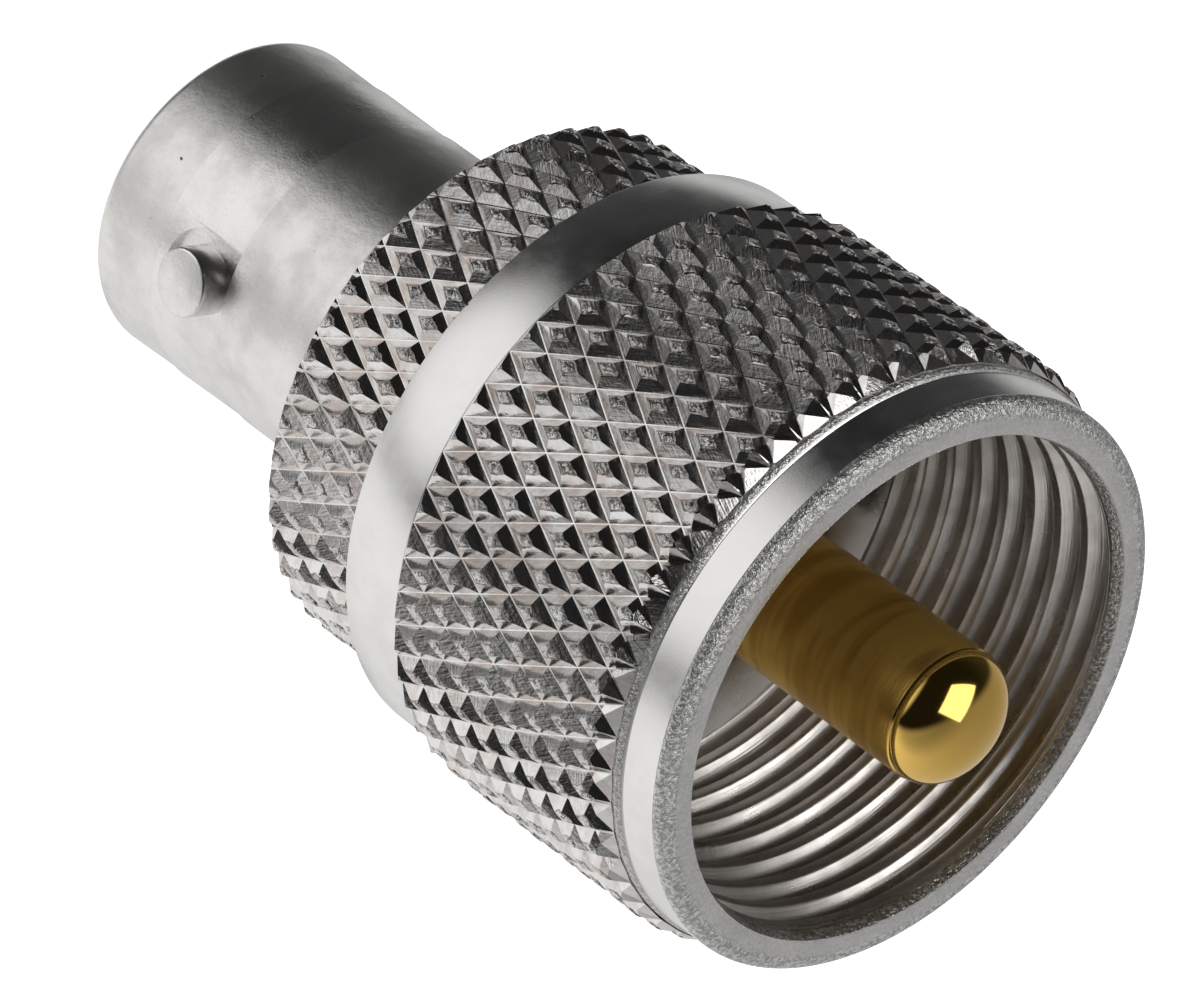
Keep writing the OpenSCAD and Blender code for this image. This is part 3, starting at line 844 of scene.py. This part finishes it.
    def close_ends(self, lattice):
        """Takes both zigzag ends down into the body and closes them."""
        bpy.ops.mesh.select_mode(type="EDGE")
        bpy.ops.mesh.select_all(action="DESELECT")
        bpy.ops.mesh.select_non_manifold(
            extend=False, use_wire=False, use_boundary=True, use_multi_face=False,
            use_non_contiguous=False, use_verts=False,
        )
        inward = 1 - 0.3 * MM / lattice.floor_r
        bpy.ops.mesh.extrude_edges_move()
        bpy.ops.transform.resize(value=(inward, inward, 1), center_override=(0, 0, 0))
        bpy.ops.mesh.bridge_edge_loops()
        tidy_mesh()


class ADAPTER_OT_thread(bpy.types.Operator):
    """Winds the coupling thread inside the nut"""

    bl_idname = "adapter.thread"
    bl_label = "Thread"

    def execute(self, context):
        s = context.scene.adapter_nut
        rim = NUT_HIGH.z
        start = rim + 0.1 * MM - s.turns * s.pitch
        slope = math.tan(math.radians(30))
        foot = s.pitch / 2 - 0.066 * MM
        crest = foot - (s.root_r - s.thread_r) * slope
        ease = 0.05 * MM
        sunk = 0.03 * MM
        thread = draw_outline("thread", [
            (s.root_r + sunk, start - foot - sunk * slope),
            (s.thread_r + ease, start - crest - ease * slope),
            (s.thread_r + ease * 0.3, start - crest + ease * 0.1),
            (s.thread_r, start - crest + ease),
            (s.thread_r, start + crest - ease),
            (s.thread_r + ease * 0.3, start + crest - ease * 0.1),
            (s.thread_r + ease, start + crest + ease * slope),
            (s.root_r + sunk, start + foot + sunk * slope),
        ])
        bpy.ops.mesh.edge_face_add()
        bpy.ops.object.mode_set(mode="OBJECT")
        self.wind(thread, s)
        self.trim(thread, s, rim)
        material = thread_plating(context.scene.adapter_finishes.thread)
        finish_piece(thread, material, "nut")
        return {"FINISHED"}

    def wind(self, thread, s):
        """Sweeps the tooth's outline up the helix and caps both ends."""
        bpy.ops.object.mode_set(mode="EDIT")
        bpy.ops.mesh.select_all(action="SELECT")
        bpy.ops.mesh.delete(type="ONLY_FACE")
        bpy.ops.object.mode_set(mode="OBJECT")
        apply_modifier(
            thread, "SCREW", axis="Z", angle=TURN, steps=96, render_steps=96, iterations=s.turns,
            screw_offset=s.pitch, use_merge_vertices=False,
        )
        bpy.ops.object.mode_set(mode="EDIT")
        bpy.ops.mesh.select_mode(type="EDGE")
        bpy.ops.mesh.select_all(action="DESELECT")
        bpy.ops.mesh.select_non_manifold(
            extend=False, use_wire=False, use_boundary=True, use_multi_face=False,
            use_non_contiguous=False, use_verts=False,
        )
        bpy.ops.mesh.edge_face_add()
        tidy_mesh()

    def trim(self, thread, s, rim):
        """Keeps the part of the helix that the bore and the lead-in leave."""
        low = rim - s.turns * s.pitch + s.lead_len
        keeper = turn("thread_limits", [
            (s.thread_r - 0.1 * MM, low + 0.5 * MM),
            (s.root_r + 0.1 * MM, low - 0.2 * MM),
            (s.root_r + 0.1 * MM, rim - 0.2 * MM),
            (s.thread_r + 0.3 * MM, rim - 0.25 * MM),
            (s.thread_r - 0.1 * MM, rim - s.lead_len - 0.08 * MM),
        ], steps=96)
        cut_with(thread, keeper, "INTERSECT")


class ADAPTER_OT_barrel(bpy.types.Operator):
    """Turns the bayonet jack's barrel and mills the flats round its lugs"""

    bl_idname = "adapter.barrel"
    bl_label = "Barrel"

    def execute(self, context):
        s = context.scene.adapter_barrel
        plug_z = s.barrel_len + s.shoulder_len
        barrel = turn("barrel", [
            (s.mouth_r + s.mouth_lead, 0),
            (s.barrel_r - s.mouth_round, 0),
            *arc(s.barrel_r - s.mouth_round, s.mouth_round, s.mouth_round, -math.pi / 2, 0, 8)[1:],
            (s.barrel_r - s.taper, s.step_a),
            (s.barrel_r, s.step_a + 0.02 * MM),
            (s.barrel_r - s.taper, s.step_b),
            (s.barrel_r, s.step_b + 0.02 * MM),
            (s.barrel_r, s.barrel_len),
            (s.shoulder_r - 0.2 * MM, s.barrel_len),
            (s.shoulder_r, s.barrel_len + 0.2 * MM),
            (s.shoulder_r, plug_z),
            (s.spigot_r, plug_z),
            (s.spigot_r, JACK_HIGH.z),
            (s.inner_r, JACK_HIGH.z),
            (s.inner_r, s.mouth_depth + s.lip_len),
            (s.lip_r, s.mouth_depth + s.lip_len),
            (s.lip_r, s.mouth_depth),
            (s.mouth_r, s.mouth_depth),
            (s.mouth_r, s.mouth_lead),
        ], steps=192)
        self.mill_pockets(barrel, s)
        material = satin_plating(context.scene.adapter_finishes.satin, s)
        finish_piece(barrel, material, "body", ["jack_body"], angle=math.radians(20))
        lugs = self.make_lugs(s)
        finish_piece(lugs, material, "body", ["jack_body"])
        return {"FINISHED"}

    def mill_pockets(self, barrel, s):
        """Cuts a round-ended flat for each lug."""
        flat_x = math.sqrt(s.barrel_r ** 2 - s.pocket_r ** 2)
        reach = s.barrel_r + MM
        for side in (1, -1):
            clear_selection()
            bpy.ops.mesh.primitive_cylinder_add(
                vertices=96, radius=s.pocket_r, depth=reach - flat_x, location=(0, 0, 0)
            )
            cutter = name_piece("pocket_cutter")
            bpy.ops.object.mode_set(mode="EDIT")
            bpy.ops.mesh.select_mode(type="VERT")
            bpy.ops.mesh.select_all(action="SELECT")
            bpy.ops.transform.rotate(value=math.pi / 2, orient_axis="Y", center_override=(0, 0, 0))
            bpy.ops.mesh.select_all(action="DESELECT")
            bpy.ops.object.mode_set(mode="OBJECT")
            for vertex in cutter.data.vertices:
                vertex.select = vertex.co.z > -TINY
            bpy.ops.object.mode_set(mode="EDIT")
            bpy.ops.transform.resize(value=(1, 1, 0), center_override=(0, 0, 0))
            bpy.ops.transform.translate(value=(0, 0, s.step_b - s.lug_z))
            bpy.ops.mesh.select_all(action="SELECT")
            bpy.ops.transform.translate(value=(side * (flat_x + reach) / 2, 0, s.lug_z))
            self.square_off(cutter, s)
            cut_with(barrel, cutter)

    def square_off(self, cutter, s):
        """Straightens the cutter's far end, so that the flat runs out at the second step."""
        bpy.ops.object.mode_set(mode="OBJECT")
        for vertex in cutter.data.vertices:
            if vertex.co.z > s.step_b - TINY:
                vertex.co.y = math.copysign(s.pocket_r, vertex.co.y)
        bpy.ops.object.mode_set(mode="EDIT")
        tidy_mesh()

    def make_lugs(self, s):
        """Turns one lug round its own axis and copies it to the other side."""
        foot_x = (s.mouth_r + s.barrel_r) / 2
        lugs = turn("bayonet_lugs", [
            (foot_x, s.lug_z),
            (foot_x, s.lug_z + s.lug_r),
            (s.lug_reach, s.lug_z + s.lug_r),
            (s.lug_reach, s.lug_z),
        ], centre=(0, 0, s.lug_z), axis=(1, 0, 0), steps=64)
        ease_edges(lugs, 0.09 * MM, 3)
        make_active(lugs)
        bpy.ops.object.mode_set(mode="EDIT")
        bpy.ops.mesh.select_all(action="SELECT")
        bpy.ops.mesh.spin(steps=1, dupli=True, angle=math.pi, center=(0, 0, 0), axis=(0, 0, 1))
        bpy.ops.object.mode_set(mode="OBJECT")
        return lugs


class ADAPTER_OT_pin(bpy.types.Operator):
    """Turns the gold pin with its polished dome"""

    bl_idname = "adapter.pin"
    bl_label = "Pin"

    def execute(self, context):
        s = context.scene.adapter_contacts
        shoulder = DISC_HIGH.z
        dome = PIN_HIGH.z - s.dome_h
        step = 0.03 * MM
        angles = [math.pi / 2 * i / 20 for i in range(20)]
        curve = [((s.pin_r - step) * math.cos(a), dome + s.dome_h * math.sin(a)) for a in angles]
        pin = turn("pin", [
            (0, PIN_LOW.z),
            (s.stud_r, PIN_LOW.z),
            (s.stud_r, shoulder - s.foot_len),
            (s.foot_r, shoulder - s.foot_len),
            (s.foot_r, shoulder),
            (s.pin_r, shoulder),
            (s.pin_r, dome - 2 * step),
            (s.pin_r - step * 0.4, dome - step),
            *curve,
            (0, PIN_HIGH.z),
        ])
        finish_piece(pin, gold_plating("gold_pin", context.scene.adapter_finishes.gold, dome - step),
                     "body", ["centre_pin"], angle=math.radians(24))
        return {"FINISHED"}


class ADAPTER_OT_finish_nodes(bpy.types.Operator):
    """Gives the CAD parts that are kept their finishes"""

    bl_idname = "adapter.finish_nodes"
    bl_label = "Kept parts"

    def execute(self, context):
        colours = context.scene.adapter_finishes
        insulator = white_insulator(colours.insulator)
        finishes = {
            "rear_insulator": insulator,
            "front_insulator": insulator,
            "socket_contact": gold_plating("gold_socket", colours.gold, PIN_HIGH.z),
            "plug_body": plain_metal("shell_plating", colours.shell, 0.24, 0.34),
            "retaining_ring": plain_metal("spring_bronze", colours.bronze, 0.3, 0.4),
        }
        for node, material in finishes.items():
            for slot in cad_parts[node].material_slots:
                slot.material = material
        return {"FINISHED"}


class ADAPTER_PT_panel(bpy.types.Panel):
    """Lists the adapter's pieces and sizes"""

    bl_label = "Coaxial adapter"
    bl_idname = "ADAPTER_PT_panel"
    bl_space_type = "VIEW_3D"
    bl_region_type = "UI"
    bl_category = "Adapter"

    def draw(self, context):
        for operator in OPERATORS:
            self.layout.operator(operator.bl_idname)
        for name in GROUPS:
            box = self.layout.box()
            group = getattr(context.scene, name)
            for key in group.bl_rna.properties.keys():
                if key not in ("rna_type", "name"):
                    box.prop(group, key)


GROUPS = {
    "adapter_nut": NutSizes,
    "adapter_barrel": BarrelSizes,
    "adapter_contacts": ContactSizes,
    "adapter_finishes": Finishes,
    "adapter_stage": StageSizes,
}
OPERATORS = (
    ADAPTER_OT_stage,
    ADAPTER_OT_nut,
    ADAPTER_OT_knurls,
    ADAPTER_OT_thread,
    ADAPTER_OT_barrel,
    ADAPTER_OT_pin,
    ADAPTER_OT_finish_nodes,
)


def register():
    for cls in (*GROUPS.values(), *OPERATORS, ADAPTER_PT_panel):
        bpy.utils.register_class(cls)
    for name, group in GROUPS.items():
        setattr(bpy.types.Scene, name, PointerProperty(type=group))


def unregister():
    for name in GROUPS:
        delattr(bpy.types.Scene, name)
    for cls in reversed((*GROUPS.values(), *OPERATORS, ADAPTER_PT_panel)):
        bpy.utils.unregister_class(cls)


def main():
    register()
    bpy.ops.adapter.stage()
    bpy.ops.adapter.nut()
    bpy.ops.adapter.knurls()
    bpy.ops.adapter.thread()
    bpy.ops.adapter.barrel()
    bpy.ops.adapter.pin()
    bpy.ops.adapter.finish_nodes()
    clear_selection()


if __name__ == "__main__":
    main()
